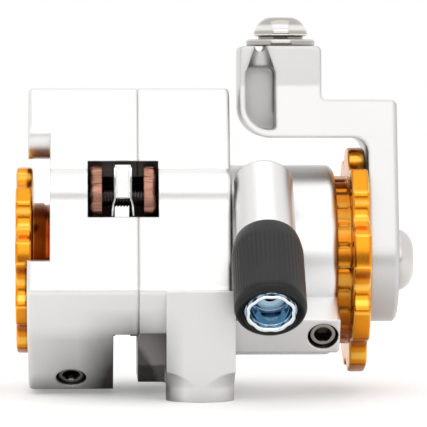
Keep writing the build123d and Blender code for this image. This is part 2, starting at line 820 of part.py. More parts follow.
def lever_arm():
    """The lever from the pivot hub to the cable clamp."""
    depth = 2 * arm_hub_radius
    arm = slab(arm_side(), arm_post_left_x - overrun, arm_plate_right_x)
    arm = chamfer(arm.faces().sort_by(Axis.X)[-1].edges(), arm_edge_chamfer)
    arm &= extrude(Plane.XZ.offset(-depth) * arm_front(), amount=2 * depth)
    pocket_width = arm_pocket_right_x - arm_pocket_left_x
    pocket_height = arm_pocket_high_z - arm_pocket_low_z
    pocket = make_face(FilletPolyline(
        (arm_pocket_left_x, arm_pocket_high_z), (arm_pocket_right_x, arm_pocket_high_z),
        (arm_pocket_right_x, arm_pocket_low_z), (arm_pocket_left_x, arm_pocket_low_z),
        radius=[pocket_width / 4, pocket_width / 4, pocket_width / 8, arm_pocket_corner], close=True))
    pocket_depth = arm_pocket_floor_y + arm_hub_radius
    arm -= extrude(Plane.XZ.offset(-arm_pocket_floor_y) * pocket, amount=pocket_depth)
    groove_length = 2 * depth
    groove = Pos(cable_x, 0, arm_top_z) * (Rot(90, 0, 0) * Cylinder(cable_groove_radius, groove_length))
    arm -= groove
    ramp_height = arm_top_z - arm_pocket_high_z + pocket_height / 10
    lead_in = Cone(pocket_width / 2, cable_groove_radius, ramp_height,
                   align=(Align.CENTER, Align.CENTER, Align.MIN))
    arm -= Pos(cable_x, arm_top_front_y, arm_top_z - ramp_height) * lead_in
    arm -= Pos(clamp_x, clamp_y, arm_top_z) * Cylinder(
        clamp_radius, clamp_length + face_gap, align=(Align.CENTER, Align.CENTER, Align.MAX))
    arm -= disc(spindle_radius, arm_plate_left_x - overrun, arm_plate_right_x + overrun)
    return arm


def pivot_bolt():
    """The domed bolt that holds the lever on its spindle."""
    bolt = dome_screw(pivot_head_radius, pivot_head_height, pivot_head_rim, pivot_radius, pivot_length,
                      pivot_hex, pivot_hex_depth)
    return Plane(origin=(arm_plate_right_x, 0, 0), x_dir=(0, 1, 0), z_dir=(1, 0, 0)) * bolt


def cable_bolt():
    """The bolt that clamps the cable."""
    bolt = dome_screw(clamp_head_radius, clamp_head_height, clamp_head_rim, clamp_radius, clamp_length,
                      clamp_hex, clamp_hex_depth)
    return Pos(clamp_x, clamp_y, arm_top_z + washer_thickness) * bolt


def cable_washer():
    """The clamp washer under the bolt's head."""
    washer = Cylinder(washer_radius, washer_thickness, align=(Align.CENTER, Align.CENTER, Align.MIN))
    washer = fillet(washer.edges().group_by(Axis.Z)[-1], washer_thickness / 4)
    washer -= Cylinder(clamp_radius + running_gap, 4 * washer_thickness)
    return Pos(clamp_x, clamp_y, arm_top_z) * washer


def barrel_washer():
    """The sliding washer between the tube and the barrel."""
    start = tube_length + face_gap
    washer = rod(cable_frame, grip_bore_radius, start, start + barrel_washer_thickness)
    return washer - rod(cable_frame, barrel_thread_radius, start - overrun, start + overrun)


def barrel_core():
    """The steel adjuster: a thread in the tube and a socket for the housing."""
    end = tube_length + grip_length
    core = rod(cable_frame, barrel_thread_radius - running_gap, tube_length - barrel_thread_length, end)
    core += rod(cable_frame, grip_bore_radius, grip_start, end)
    lip_section = Circle(core_lip_radius) & Rectangle(
        2 * core_lip_radius, 2 * core_lip_radius * core_flat_share)
    core += extrude(cable_frame.offset(end) * lip_section, amount=core_lip)
    core -= rod(cable_frame, ferrule_radius, end - ferrule_depth, end + overrun)
    funnel = Cone(cable_hole_radius, ferrule_radius, ferrule_funnel,
                  align=(Align.CENTER, Align.CENTER, Align.MAX))
    core -= cable_frame.offset(end - ferrule_depth) * funnel
    return core - rod(cable_frame, cable_hole_radius, -overrun, end)


def barrel_grip():
    """The rubber sleeve on the barrel."""
    start = grip_start
    end = tube_length + grip_length
    grip = rod(cable_frame, grip_radius, start, end)
    grip = chamfer(grip.edges().filter_by(GeomType.CIRCLE), grip_edge)
    return grip - rod(cable_frame, grip_bore_radius, start - overrun, end + overrun)


nodes = {
    "inboard_body": inboard_body(),
    "outboard_body": outboard_body(),
    "body_bolts": body_bolts(),
    "inboard_knob": inboard_knob(),
    "outboard_knob": outboard_knob(),
    "inboard_piston": inboard_piston(),
    "outboard_piston": outboard_piston(),
    "piston_seal": piston_seal(),
    "inboard_pad_plate": pad_plate(inboard_pad_x, 0),
    "inboard_pad_lining": pad_lining(inboard_plate_x),
    "outboard_pad_plate": pad_plate(outboard_plate_x, -1),
    "outboard_pad_lining": pad_lining(outboard_lining_x),
    "pad_pin": pad_pin(),
    "pad_spring": pad_spring(),
    "inboard_set_screw": inboard_set_screw(),
    "outboard_set_screw": outboard_set_screw(),
    "inboard_plunger": inboard_plunger(),
    "outboard_plunger": outboard_plunger(),
    "inboard_detent_spring": inboard_detent_spring(),
    "outboard_detent_spring": outboard_detent_spring(),
    "sliding_ramp": sliding_ramp(),
    "turning_ramp": turning_ramp(),
    "ramp_balls": ramp_balls(),
    "ball_spacer": ball_spacer(),
    "thrust_balls": thrust_balls(),
    "thrust_race": thrust_race(),
    "spindle": spindle(),
    "spindle_bush": spindle_bush(),
    "return_spring": return_spring(),
    "lever_arm": lever_arm(),
    "pivot_bolt": pivot_bolt(),
    "cable_bolt": cable_bolt(),
    "cable_washer": cable_washer(),
    "barrel_washer": barrel_washer(),
    "barrel_core": barrel_core(),
    "barrel_grip": barrel_grip(),
}

for name, solid in nodes.items():
    export_step(Pos(0, 0, axis_height) * solid, f"parts/{name}.step")
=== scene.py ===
"""Dresses the frame of a bicycle disc brake caliper and sets it on a pale studio floor."""

import math

import bmesh
import bpy
from bpy.props import FloatProperty, FloatVectorProperty, IntProperty, PointerProperty
from mathutils import Matrix, Vector


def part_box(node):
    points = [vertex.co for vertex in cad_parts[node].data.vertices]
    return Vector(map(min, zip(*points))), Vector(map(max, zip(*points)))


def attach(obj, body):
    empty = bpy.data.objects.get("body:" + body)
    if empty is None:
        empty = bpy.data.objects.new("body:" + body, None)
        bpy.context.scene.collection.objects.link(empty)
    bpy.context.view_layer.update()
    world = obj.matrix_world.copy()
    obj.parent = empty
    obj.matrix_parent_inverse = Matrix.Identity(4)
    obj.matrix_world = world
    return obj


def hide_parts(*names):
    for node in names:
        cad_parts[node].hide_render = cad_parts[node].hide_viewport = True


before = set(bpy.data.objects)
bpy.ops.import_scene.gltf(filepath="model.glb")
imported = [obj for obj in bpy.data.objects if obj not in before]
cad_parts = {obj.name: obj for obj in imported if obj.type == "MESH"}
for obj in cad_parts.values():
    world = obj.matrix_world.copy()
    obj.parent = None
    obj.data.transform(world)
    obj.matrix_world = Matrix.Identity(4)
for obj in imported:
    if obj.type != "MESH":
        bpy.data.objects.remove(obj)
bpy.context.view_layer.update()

bl_info = {
    "name": "Disc brake caliper",
    "version": (1, 0, 0),
    "blender": (4, 5, 0),
    "location": "3D View > Sidebar > Caliper",
    "description": "Finishes, fasteners and studio of a cable-pulled disc brake caliper",
    "category": "Object",
}

# Places from the actuator axis, in millimetres, and tilts in degrees
MM = 0.001
AXIS_HEIGHT = 21.6
CABLE_ANGLE = math.radians(40.0)
CABLE_REACH = 17.5
BARREL_START = Vector((
    10.45, -CABLE_REACH * math.sin(CABLE_ANGLE), CABLE_REACH * math.cos(CABLE_ANGLE)))
BARREL_DIRECTION = Vector((0.0, -math.cos(CABLE_ANGLE), -math.sin(CABLE_ANGLE)))
INBOARD_SCREW_TILT = 52.0
OUTBOARD_SCREW_TILT = 32.0
BODY_BOLT_FACE = -19.6
BODY_BOLT_PLACES = ((-0.5, 22.3), (-16.9, -3.6))
LARGE_KNOB_START = 17.5
LARGE_KNOB_RADIUS = 18.58
SMALL_KNOB_START = -29.7
SMALL_KNOB_RADIUS = 15.38

# How the pieces are meshed
KNOB_STEPS = 432
GRIP_STEPS = 384
STAR_CUTTER = 3.8
STAR_SAMPLES = 9
STAR_SAMPLE_ANGLE = 0.6
LOBE_SHARE = 0.05
FLUTE_SHARPNESS = 6
THREAD_ROWS = 6
THREAD_CREST = 1.25
THREAD_TIP = 0.05
COIL_STEPS = 24

# Bounds of the masks, in metres (-1 for no end), and their rise for each metre inside
# Painted shade goes into the pad window and onto the wall beside the rotor's slot
SHADED_WINDOW = {"X": (-0.018015, -0.006535), "Y": (-0.0155, 0.006), "Z": (0.02929, 0.03821)}
SHADED_WALL = {"X": (-0.00975, -0.0054), "Z": (-1.0, 0.01095)}
SMALL_HUB = {"X": (-0.0268, -0.018)}
LARGE_HUB = {"X": (0.017, 0.0246)}
LARGE_HUB_RADIUS = 0.0143
WINDOW_RISE = 40000.0
WALL_RISE = 6000.0
HUB_RISE = 8000.0
# Faces leaning this far down get a painted highlight, a painted reflection of the pale floor
FLOORWARD_LEAN = -0.25

DUST_COLOR = (0.4, 0.38, 0.35)
# Painted shade beside the rotor's slot
SLOT_SHADE_COLOR = (0.05, 0.04, 0.034)
# Painted shade in nooks
RECESS_SHADE_COLOR = (0.02, 0.017, 0.015)

# The stage, in metres
STAGE_CENTRE = Vector((0.0, 0.0, 0.03))
FLOOR_REACH = 3.0
CARD_REACH = 0.34
CARD_FRONT = -0.45
CARD_BOTTOM = 0.001
CARD_TOP = 0.105
CAMERA_PLACE = Vector((-0.0176, -0.55, 0.0496))
CAMERA_AIM = Vector((0.0028, 0.0, 0.0293))


class CaliperFinishSettings(bpy.types.PropertyGroup):
    silver_color: FloatVectorProperty(
        name="Silver", description="Blasted and anodised halves and lever",
        subtype="COLOR", size=3, min=0.0, max=1.0, default=(0.82, 0.815, 0.805))
    silver_roughness: FloatProperty(
        name="Silver roughness", description="Spread of the blasted surface's gloss",
        subtype="FACTOR", min=0.0, max=1.0, default=0.33)
    orange_color: FloatVectorProperty(
        name="Orange", description="Anodised adjuster knobs",
        subtype="COLOR", size=3, min=0.0, max=1.0, default=(0.83, 0.29, 0.016))
    copper_color: FloatVectorProperty(
        name="Copper", description="Plated backing plates of the pads",
        subtype="COLOR", size=3, min=0.0, max=1.0, default=(0.46, 0.225, 0.16))
    edge_radius: FloatProperty(
        name="Edge radius", description="Size of the polish along machined edges",
        subtype="DISTANCE", unit="LENGTH", min=0.0, default=0.00022)


class CaliperPieceSettings(bpy.types.PropertyGroup):
    thread_pitch: FloatProperty(
        name="Small thread pitch", description="Pitch of the pad screw",
        subtype="DISTANCE", unit="LENGTH", min=0.0001, default=0.0005)
    coarse_pitch: FloatProperty(
        name="Coarse thread pitch", description="Pitch of the set screws, clamp bolt and barrel",
        subtype="DISTANCE", unit="LENGTH", min=0.0001, default=0.0008)
    knob_lobes: IntProperty(
        name="Knob lobes", description="Lobes round each knob",
        min=3, max=30, default=9)
    knob_valley: FloatProperty(
        name="Knob valley", description="Depth of the valleys between the lobes",
        subtype="DISTANCE", unit="LENGTH", min=0.0, default=0.0020)
    large_knob_phase: FloatProperty(
        name="Large knob's turn", description="Where the large knob's lobes stand",
        subtype="ANGLE", default=math.radians(153.0))
    small_knob_phase: FloatProperty(
        name="Small knob's turn", description="Where the small knob's lobes stand",
        subtype="ANGLE", default=math.radians(153.0))
    grip_flutes: IntProperty(
        name="Grip flutes", description="Shallow grooves round the rubber sleeve",
        min=6, max=90, default=48)
    flute_depth: FloatProperty(
        name="Flute depth", description="Depth of the sleeve's grooves",
        subtype="DISTANCE", unit="LENGTH", min=0.0, default=0.0001)
    grip_roughness: FloatProperty(
        name="Rubber roughness", description="Spread of the rubber's gloss",
        subtype="FACTOR", min=0.0, max=1.0, default=0.4)


class CaliperStageSettings(bpy.types.PropertyGroup):
    lens: FloatProperty(
        name="Lens", description="Focal length on a 36 mm sensor, in millimetres",
        min=20.0, default=280.5)
    front_power: FloatProperty(
        name="Front lamp", description="Power of the softbox over the camera",
        unit="POWER", min=0.0, default=0.95)
    top_power: FloatProperty(
        name="Top lamp", description="Power of the softbox overhead",
        unit="POWER", min=0.0, default=0.35)
    ambient: FloatProperty(
        name="Ambient", description="Strength of the room's soft light",
        min=0.0, default=0.8)
    floor_lift: FloatProperty(
        name="Floor lift", description="Glow that brings the floor to white for the camera",
        min=0.0, default=0.26)


def spot(x, y, z):
    """A place given from the actuator axis in millimetres."""
    return Vector((x, y, z + AXIS_HEIGHT)) * MM


def along(origin, direction):
    """The placement whose Z runs along a direction from an origin."""
    turn = Vector(direction).normalized().to_track_quat("Z", "Y").to_matrix().to_4x4()
    return Matrix.Translation(origin) @ turn


def leaning(degrees):
    """The direction that points to the front and down by an angle."""
    tilt = math.radians(degrees)
    return Vector((0.0, -math.cos(tilt), -math.sin(tilt)))


def middle(node):
    """The centre of a frame node's box."""
    low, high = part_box(node)
    return (Vector(low) + Vector(high)) / 2


def finished(name, data, material, body, smooth_angle=35.0):
    """Makes a piece of a curve, a mesh or several meshes, with its finish and its body."""
    if isinstance(data, list):
        data = joined(name, data)
    piece = bpy.data.objects.new(name, data)
    bpy.context.collection.objects.link(piece)
    if isinstance(data, bpy.types.Mesh):
        data.shade_smooth()
        data.set_sharp_from_angle(angle=math.radians(smooth_angle))
    data.materials.append(bpy.data.materials[material])
    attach(piece, body)
    return piece


def actuator_placement(x):
    """The placement whose Z runs along the actuator axis, with its X towards the back."""
    turn = Matrix(((0.0, 0.0, 1.0), (1.0, 0.0, 0.0), (0.0, 1.0, 0.0))).to_4x4()
    return Matrix.Translation(spot(x, 0.0, 0.0)) @ turn


def rim_rows(radius, start, end, form):
    """Rows over a knob's rounded rim, from one side to the other."""
    inset = ((0.62, 0.0), (0.3, 0.06), (0.1, 0.22), (0.0, 0.5))
    rows = [(radius - step, start + rise, *form) for step, rise in inset]
    return rows + [(radius - step, end - rise, *form) for step, rise in reversed(inset)]


def outline_radius(radius, form, angle, depth=0.0, count=1):
    """A ring's radius at an angle: round, hexagonal, fluted, lobed or scooped like a star."""
    if form == "hex":
        return radius / math.cos(math.radians((math.degrees(angle) % 60.0) - 30.0))
    if form == "star":
        period = 2.0 * math.pi / count
        centre = radius + STAR_CUTTER - depth
        total = 0.0
        for sample in range(STAR_SAMPLES):
            shift = math.radians((sample - STAR_SAMPLES // 2) * STAR_SAMPLE_ANGLE)
            offset = (angle + shift + period / 2) % period - period / 2
            under = STAR_CUTTER ** 2 - (centre * math.sin(offset)) ** 2
            cut = centre * math.cos(offset) - math.sqrt(under) if under > 0.0 else radius
            total += min(radius, cut)
        return total / STAR_SAMPLES
    wave = 0.5 + 0.5 * math.cos(angle * count)
    if form == "flute":
        return radius - depth * wave ** FLUTE_SHARPNESS
    if form == "lobe":
        return radius * (1.0 - LOBE_SHARE * wave ** 2)
    return radius


def ring_point(placement, radius, angle, height):
    """A point on a ring about a placement's Z."""
    return placement @ Vector((radius * math.cos(angle), radius * math.sin(angle), height))


def skin(shape, rings):
    """Faces from ring to ring, any of which may be a single point."""
    for lower, upper in zip(rings, rings[1:]):
        steps = max(len(lower), len(upper))
        for step in range(steps):
            after = (step + 1) % steps
            if len(lower) == 1:
                shape.faces.new((lower[0], upper[after], upper[step]))
            elif len(upper) == 1:
                shape.faces.new((lower[step], lower[after], upper[0]))
            else:
                shape.faces.new((lower[step], lower[after], upper[after], upper[step]))


def strips(shape, rows):
    """Faces from row to row of a sheet's points."""
    for upper, lower in zip(rows, rows[1:]):
        for step in range(len(upper) - 1):
            shape.faces.new((upper[step], upper[step + 1], lower[step + 1], lower[step]))


def as_mesh(name, shape):
    """The mesh of a shape, which is then freed."""
    mesh = bpy.data.meshes.new(name)
    shape.to_mesh(mesh)
    shape.free()
    return mesh


def turned(name, rows, placement, steps=72, loop=False, phase=0.0):
    """A turned piece from rows of (radius, height, form, depth, count) in millimetres."""
    shape = bmesh.new()
    rings = []
    for row in rows:
        radius, height, form, depth, count = row + ("round", 0.0, 1)[len(row) - 2:]
        ring = []
        for step in range(steps if radius > 0.0 else 1):
            angle = 2.0 * math.pi * step / steps
            reach = outline_radius(radius, form, angle - phase, depth, count) * MM
            ring.append(shape.verts.new(ring_point(placement, reach, angle, height * MM)))
        rings.append(ring)
    if loop:
        rings.append(rings[0])
    skin(shape, rings)
    bmesh.ops.recalc_face_normals(shape, faces=shape.faces)
    return as_mesh(name, shape)


def threaded(name, radius, depth, pitch, start, end, placement, steps=36, tip=0.4,
             open_end=False):
    """A threaded rod: its rings climb with the thread's crest, which fades at both tips."""
    shape = bmesh.new()
    rows = max(2, int((end - start) / pitch * THREAD_ROWS))
    rings = []
    for row in range(rows + 1):
        height = start + (end - start) * row / rows
        fade = min(1.0, (height - start + THREAD_TIP) / tip, (end - height + THREAD_TIP) / tip)
        ring = []
        for step in range(steps):
            angle = 2.0 * math.pi * step / steps
            phase = (height / pitch - step / steps) % 1.0
            crest = abs(phase - 0.5) * 2.0
            reach = (radius - depth + depth * fade * min(1.0, crest * THREAD_CREST)) * MM
            ring.append(shape.verts.new(ring_point(placement, reach, angle, height * MM)))
        rings.append(ring)
    skin(shape, rings)
    shape.faces.new(rings[0])
    if not open_end:
        shape.faces.new(rings[-1])
    bmesh.ops.recalc_face_normals(shape, faces=shape.faces)
    return as_mesh(name, shape)


def joined(name, meshes):
    """One mesh from several."""
    shape = bmesh.new()
    for mesh in meshes:
        shape.from_mesh(mesh)
        bpy.data.meshes.remove(mesh)
    return as_mesh(name, shape)


def coil(name, radius, wire, pitch, turns, placement, material, body):
    """A wound spring as a curve with a round section."""
    curve = bpy.data.curves.new(name, "CURVE")
    curve.dimensions = "3D"
    curve.bevel_depth = wire * MM
    curve.bevel_resolution = 4
    steps = int(turns * COIL_STEPS)
    spline = curve.splines.new("POLY")
    spline.points.add(steps)
    for step in range(steps + 1):
        angle = 2.0 * math.pi * step / COIL_STEPS
        rise = pitch * MM * step / COIL_STEPS
        spline.points[step].co = (*ring_point(placement, radius * MM, angle, rise), 1.0)
    return finished(name, curve, material, body)


def group(name, numbers, masks, normals=()):
    """An empty shader group: its tree, what it is given and what it gives."""
    tree = bpy.data.node_groups.new(name, "ShaderNodeTree")
    for label, value in numbers.items():
        socket = tree.interface.new_socket(label, in_out="INPUT", socket_type="NodeSocketFloat")
        socket.default_value = value
    for label in normals:
        tree.interface.new_socket(label, in_out="OUTPUT", socket_type="NodeSocketVector")
    for label in masks:
        tree.interface.new_socket(label, in_out="OUTPUT", socket_type="NodeSocketFloat")
    given = tree.nodes.new("NodeGroupInput")
    result = tree.nodes.new("NodeGroupOutput")
    return tree, given.outputs, result.inputs


def fed(tree, node, values):
    """A node's outputs, once its inputs are linked to sockets or set to constants."""
    for label, value in values.items():
        if isinstance(value, bpy.types.NodeSocket):
            tree.links.new(value, node.inputs[label])
        else:
            node.inputs[label].default_value = value
    return node.outputs


def operated(tree, kind, operation, values):
    """The outputs of a math node that is fed with its values."""
    node = tree.nodes.new(kind)
    node.operation = operation
    return fed(tree, node, dict(enumerate(values)))


def math_node(tree, operation, *values):
    """The result of an operation on numbers."""
    return operated(tree, "ShaderNodeMath", operation, values)[0]


def vector_node(tree, operation, *values):
    """The outputs of an operation on vectors."""
    return operated(tree, "ShaderNodeVectorMath", operation, values)


def noise(tree, place, scale, detail=2.0, roughness=0.5):
    """A noise pattern over a place."""
    return fed(tree, tree.nodes.new("ShaderNodeTexNoise"), {
        "Vector": place, "Scale": scale, "Detail": detail, "Roughness": roughness})["Fac"]


def mapped(tree, value, start, end, low=0.0, high=1.0, kind="LINEAR"):
    """A value mapped from one span to another."""
    node = tree.nodes.new("ShaderNodeMapRange")
    node.interpolation_type = kind
    return fed(tree, node, {"Value": value, "From Min": start, "From Max": end, "To Min": low,
                            "To Max": high})["Result"]


def clamped(tree, value, most=1.0):
    """A value held between nought and a limit."""
    return fed(tree, tree.nodes.new("ShaderNodeClamp"), {"Value": value, "Max": most})[0]


def apart(tree, first, second):
    """The distance between two values."""
    return math_node(tree, "ABSOLUTE", math_node(tree, "SUBTRACT", first, second))


def object_place(tree):
    """A point's place in its piece's own frame."""
    return tree.nodes.new("ShaderNodeTexCoord").outputs["Object"]


def split(tree, vector):
    """A vector's X, Y and Z."""
    return fed(tree, tree.nodes.new("ShaderNodeSeparateXYZ"), {0: vector})


def axis_distance(tree, at):
    """How far a point lies from the actuator axis."""
    height = math_node(tree, "SUBTRACT", at["Z"], AXIS_HEIGHT * MM)
    square = math_node(tree, "ADD", math_node(tree, "POWER", at["Y"], 2.0),
                       math_node(tree, "POWER", height, 2.0))
    return math_node(tree, "SQRT", square)


def bounded_mask(tree, at, bounds, rise, most=1.0, depth=1.0):
    """A mask inside bounds along the axes, which rises with the depth in them to a limit."""
    for axis, (low, high) in bounds.items():
        for upper, lower in ((at[axis], low), (high, at[axis])):
            depth = math_node(tree, "MINIMUM", depth, math_node(tree, "SUBTRACT", upper, lower))
    return math_node(tree, "MINIMUM", math_node(tree, "MULTIPLY", depth, rise), most)


def build_blast_group():
    """Fine pits and a slow cloudiness, as a blasted surface has."""
    tree, given, result = group(
        "Blasted surface", {"Pit scale": 5200.0, "Cloud scale": 90.0}, ("Pits", "Clouds"))
    place = object_place(tree)
    tree.links.new(noise(tree, place, given["Pit scale"], 3.0, 0.6), result["Pits"])
    tree.links.new(noise(tree, place, given["Cloud scale"], 3.0), result["Clouds"])


def build_edge_group():
    """A softened normal and a mask where edges are rubbed bright."""
    tree, given, result = group(
        "Edge polish", {"Radius": 0.0002, "Wear": 6.0}, ("Rubbed",), ("Normal",))
    bevel = tree.nodes.new("ShaderNodeBevel")
    bevel.samples = 4
    normal = fed(tree, bevel, {"Radius": given["Radius"]})["Normal"]
    surface = tree.nodes.new("ShaderNodeNewGeometry").outputs
    product = vector_node(tree, "DOT_PRODUCT", normal, surface["Normal"])["Value"]
    turn = math_node(tree, "SUBTRACT", 1.0, product)
    broken = noise(tree, surface["Position"], 900.0, 3.0)
    rubbed = math_node(tree, "MULTIPLY", math_node(tree, "MULTIPLY", turn, given["Wear"]), broken)
    tree.links.new(normal, result["Normal"])
    tree.links.new(clamped(tree, rubbed), result["Rubbed"])


def build_turning_group():
    """Fine rings about the actuator axis, as a lathe leaves."""
    tree, given, result = group("Turning marks", {"Rings per metre": 5000.0}, ("Rings",))
    place = object_place(tree)
    at = split(tree, place)
    distance = math_node(tree, "ADD", axis_distance(tree, at), at["X"])
    wave = math_node(tree, "SINE", math_node(tree, "MULTIPLY", distance, given["Rings per metre"]))
    uneven = math_node(tree, "MULTIPLY", wave, noise(tree, place, 400.0))
    tree.links.new(uneven, result["Rings"])


def build_stamped_group():
    """Lumps and scores across a plate's edge, as a press leaves."""
    tree, given, result = group(
        "Stamped edge", {"Lump scale": 330.0, "Score scale": 1300.0}, ("Lumps",))
    squeezed = vector_node(tree, "MULTIPLY", object_place(tree), (0.12, 1.0, 1.0))["Vector"]
    lumps = noise(tree, squeezed, given["Lump scale"], 1.0, 0.4)
    scores = noise(tree, squeezed, given["Score scale"], 3.0, 0.6)
    tree.links.new(math_node(tree, "MULTIPLY_ADD", scores, 0.22, lumps), result["Lumps"])


def build_dust_group():
    """A thin veil on what faces up."""
    tree, given, result = group("Settled dust", {"Amount": 0.1}, ("Veil",))
    surface = tree.nodes.new("ShaderNodeNewGeometry").outputs
    upward = math_node(tree, "MAXIMUM", split(tree, surface["Normal"])["Z"], 0.0)
    patches = noise(tree, surface["Position"], 260.0, 5.0, 0.7)
    veil = math_node(tree, "MULTIPLY", math_node(tree, "MULTIPLY", upward, patches),
                     given["Amount"])
    tree.links.new(veil, result["Veil"])


def build_recess_group():
    """A mask of the nooks where little light gets in, for painted shade."""
    tree, given, result = group("Recess shade", {"Reach": 0.006, "Start": 0.62}, ("Nooks",))
    shelter = tree.nodes.new("ShaderNodeAmbientOcclusion")
    shelter.samples = 6
    openness = fed(tree, shelter, {"Distance": given["Reach"]})["AO"]
    depth = math_node(tree, "SUBTRACT", given["Start"], openness)
    share = math_node(tree, "DIVIDE", depth, given["Start"])
    tree.links.new(math_node(tree, "POWER", clamped(tree, share), 0.8), result["Nooks"])


def build_slot_shade_group():
    """A mask of painted shade: low beside the rotor's slot, on its wall and in the window."""
    tree, given, result = group(
        "Slot shade", {"Slot centre": -0.0111, "Spread": 0.0085}, ("Darkness",))
    place = object_place(tree)
    at = split(tree, place)
    offset = apart(tree, at["X"], given["Slot centre"])
    near = math_node(tree, "SUBTRACT", 1.0, math_node(tree, "DIVIDE", offset, given["Spread"]))
    low = math_node(tree, "SUBTRACT", 1.35, math_node(tree, "MULTIPLY", at["Z"], 90.0))
    product = math_node(tree, "MULTIPLY", math_node(tree, "MAXIMUM", near, 0.0),
                        math_node(tree, "MAXIMUM", low, 0.0))
    patches = math_node(tree, "MULTIPLY_ADD", noise(tree, place, 300.0, 4.0, 0.6), 0.5, 1.35)
    dust_and_shade = math_node(tree, "MULTIPLY", product, patches)
    dust_and_shade = math_node(tree, "MAXIMUM", dust_and_shade, bounded_mask(tree, at, SHADED_WALL, WALL_RISE, 0.78))
    dust_and_shade = math_node(tree, "MAXIMUM", dust_and_shade, bounded_mask(tree, at, SHADED_WINDOW, WINDOW_RISE))
    tree.links.new(clamped(tree, dust_and_shade, 0.95), result["Darkness"])


def build_hub_group():
    """A mask of the knobs' hubs: full for the small one in its notch, half for the large one."""
    tree, given, result = group("Hub shade", {"Hub radius": 0.0101}, ("Shade",))
    at = split(tree, object_place(tree))
    distance = axis_distance(tree, at)
    small = bounded_mask(tree, at, SMALL_HUB, HUB_RISE,
                         depth=math_node(tree, "SUBTRACT", given["Hub radius"], distance))
    large = bounded_mask(tree, at, LARGE_HUB, HUB_RISE, 0.45,
                         math_node(tree, "SUBTRACT", LARGE_HUB_RADIUS, distance))
    tree.links.new(clamped(tree, math_node(tree, "MAXIMUM", small, large)), result["Shade"])


def build_facing_group():
    """Masks by how a face leans: a painted highlight where it leans up or a little down, painted
    shade where it leans far down, as on an anodised rim.
    """
    tree, given, result = group("Leaning faces", {"Up": 0.46, "Down": -0.82}, ("Painted highlight", "Painted shade"))
    lean = split(tree, tree.nodes.new("ShaderNodeNewGeometry").outputs["Normal"])["Z"]
    painted_highlight = math_node(tree, "MINIMUM", apart(tree, lean, given["Up"]),
                     apart(tree, lean, FLOORWARD_LEAN))
    painted_shade = apart(tree, lean, given["Down"])
    for mask, offset, spread in (("Painted highlight", painted_highlight, 0.2), ("Painted shade", painted_shade, 0.3)):
        fade = mapped(tree, offset, spread, spread * 0.3, kind="SMOOTHSTEP")
        tree.links.new(fade, result[mask])


def placed_group(tree, name, values=None):
    """The outputs of a shared group that is placed in a material."""
    node = tree.nodes.new("ShaderNodeGroup")
    node.node_tree = bpy.data.node_groups[name]
    return fed(tree, node, values or {})


def scaled(color, factor, lift=0.0):
    """A colour made darker or brighter, no channel past white."""
    return [min(1.0, channel * factor + lift) for channel in color]


def layered(tree, share, under, over, blend="MIX"):
    """A colour laid over another one by a mask; each is a socket or a constant."""
    layer = tree.nodes.new("ShaderNodeMix")
    layer.data_type = "RGBA"
    layer.blend_type = blend
    colors = {label: color if isinstance(color, bpy.types.NodeSocket) else (*color, 1.0)
              for label, color in (("A", under), ("B", over))}
    return fed(tree, layer, {"Factor": share, **colors})["Result"]


def relief(tree, height, normal, depth):
    """A normal bent by a height, whose depth is in millimetres."""
    return fed(tree, tree.nodes.new("ShaderNodeBump"), {
        "Strength": 1.0, "Distance": depth * MM, "Height": height, "Normal": normal})["Normal"]


